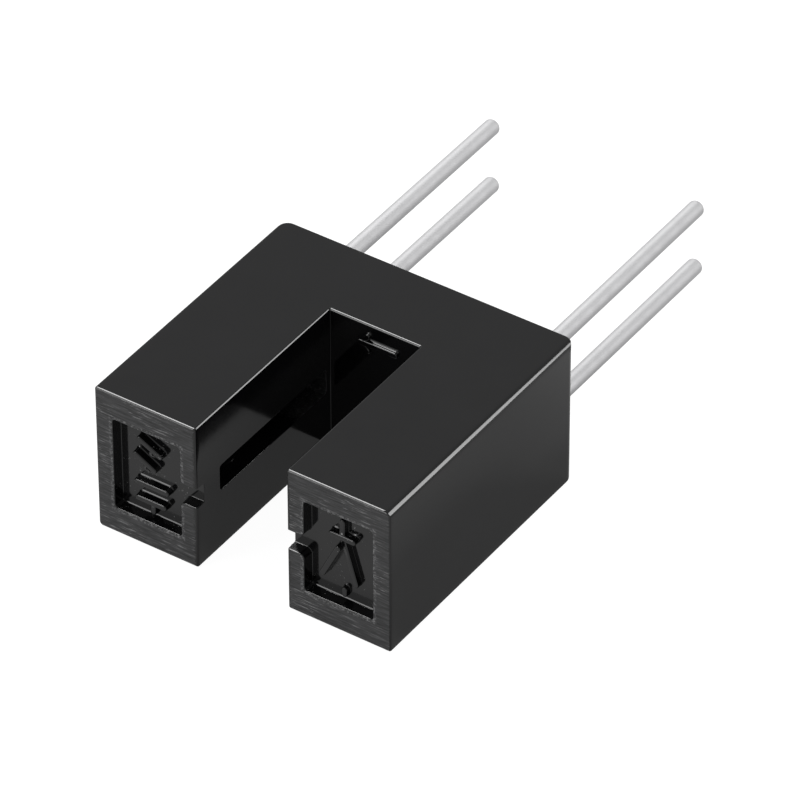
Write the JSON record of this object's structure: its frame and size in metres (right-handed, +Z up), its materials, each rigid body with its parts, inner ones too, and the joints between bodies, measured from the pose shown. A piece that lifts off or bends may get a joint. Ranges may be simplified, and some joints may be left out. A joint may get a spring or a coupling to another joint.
{
  "type": "slotted optical switch",
  "caption": "Slotted optical switch: black moulded U housing with an infrared emitter and a phototransistor facing across its slot, on round tinned leads.",
  "frame": {"origin": "centre of the bounding box's underside, on the surface that the housing's broad face lies on", "axes": "+Z up out of the broad face; +Y from the arm ends towards the lead tips; +X along the light beam, from the detector arm to the emitter arm"},
  "size_m": [0.012, 0.0216, 0.006],
  "materials": {
    "housing_plastic": "gloss black moulded thermoplastic, arm ends ground",
    "clear_epoxy": "clear cast epoxy",
    "filter_epoxy": "dark daylight-filter epoxy",
    "tinned_wire": "bright tin plate on round wire",
    "chip": "polished semiconductor",
    "bond_wire": "drawn gold wire",
    "seal_epoxy": "poured black epoxy"
  },
  "bodies": {
    "root": {"housing": "housing_plastic", "emitter_package": "clear_epoxy", "detector_package": "filter_epoxy", "emitter_cathode_lead": "tinned_wire", "emitter_anode_lead": "tinned_wire", "detector_collector_lead": "tinned_wire", "detector_emitter_lead": "tinned_wire", "emitter_chip": "chip", "detector_chip": "chip", "emitter_bond_wire": "bond_wire", "detector_bond_wire": "bond_wire", "emitter_seal": "seal_epoxy", "detector_seal": "seal_epoxy"}
  },
  "joints": []
}
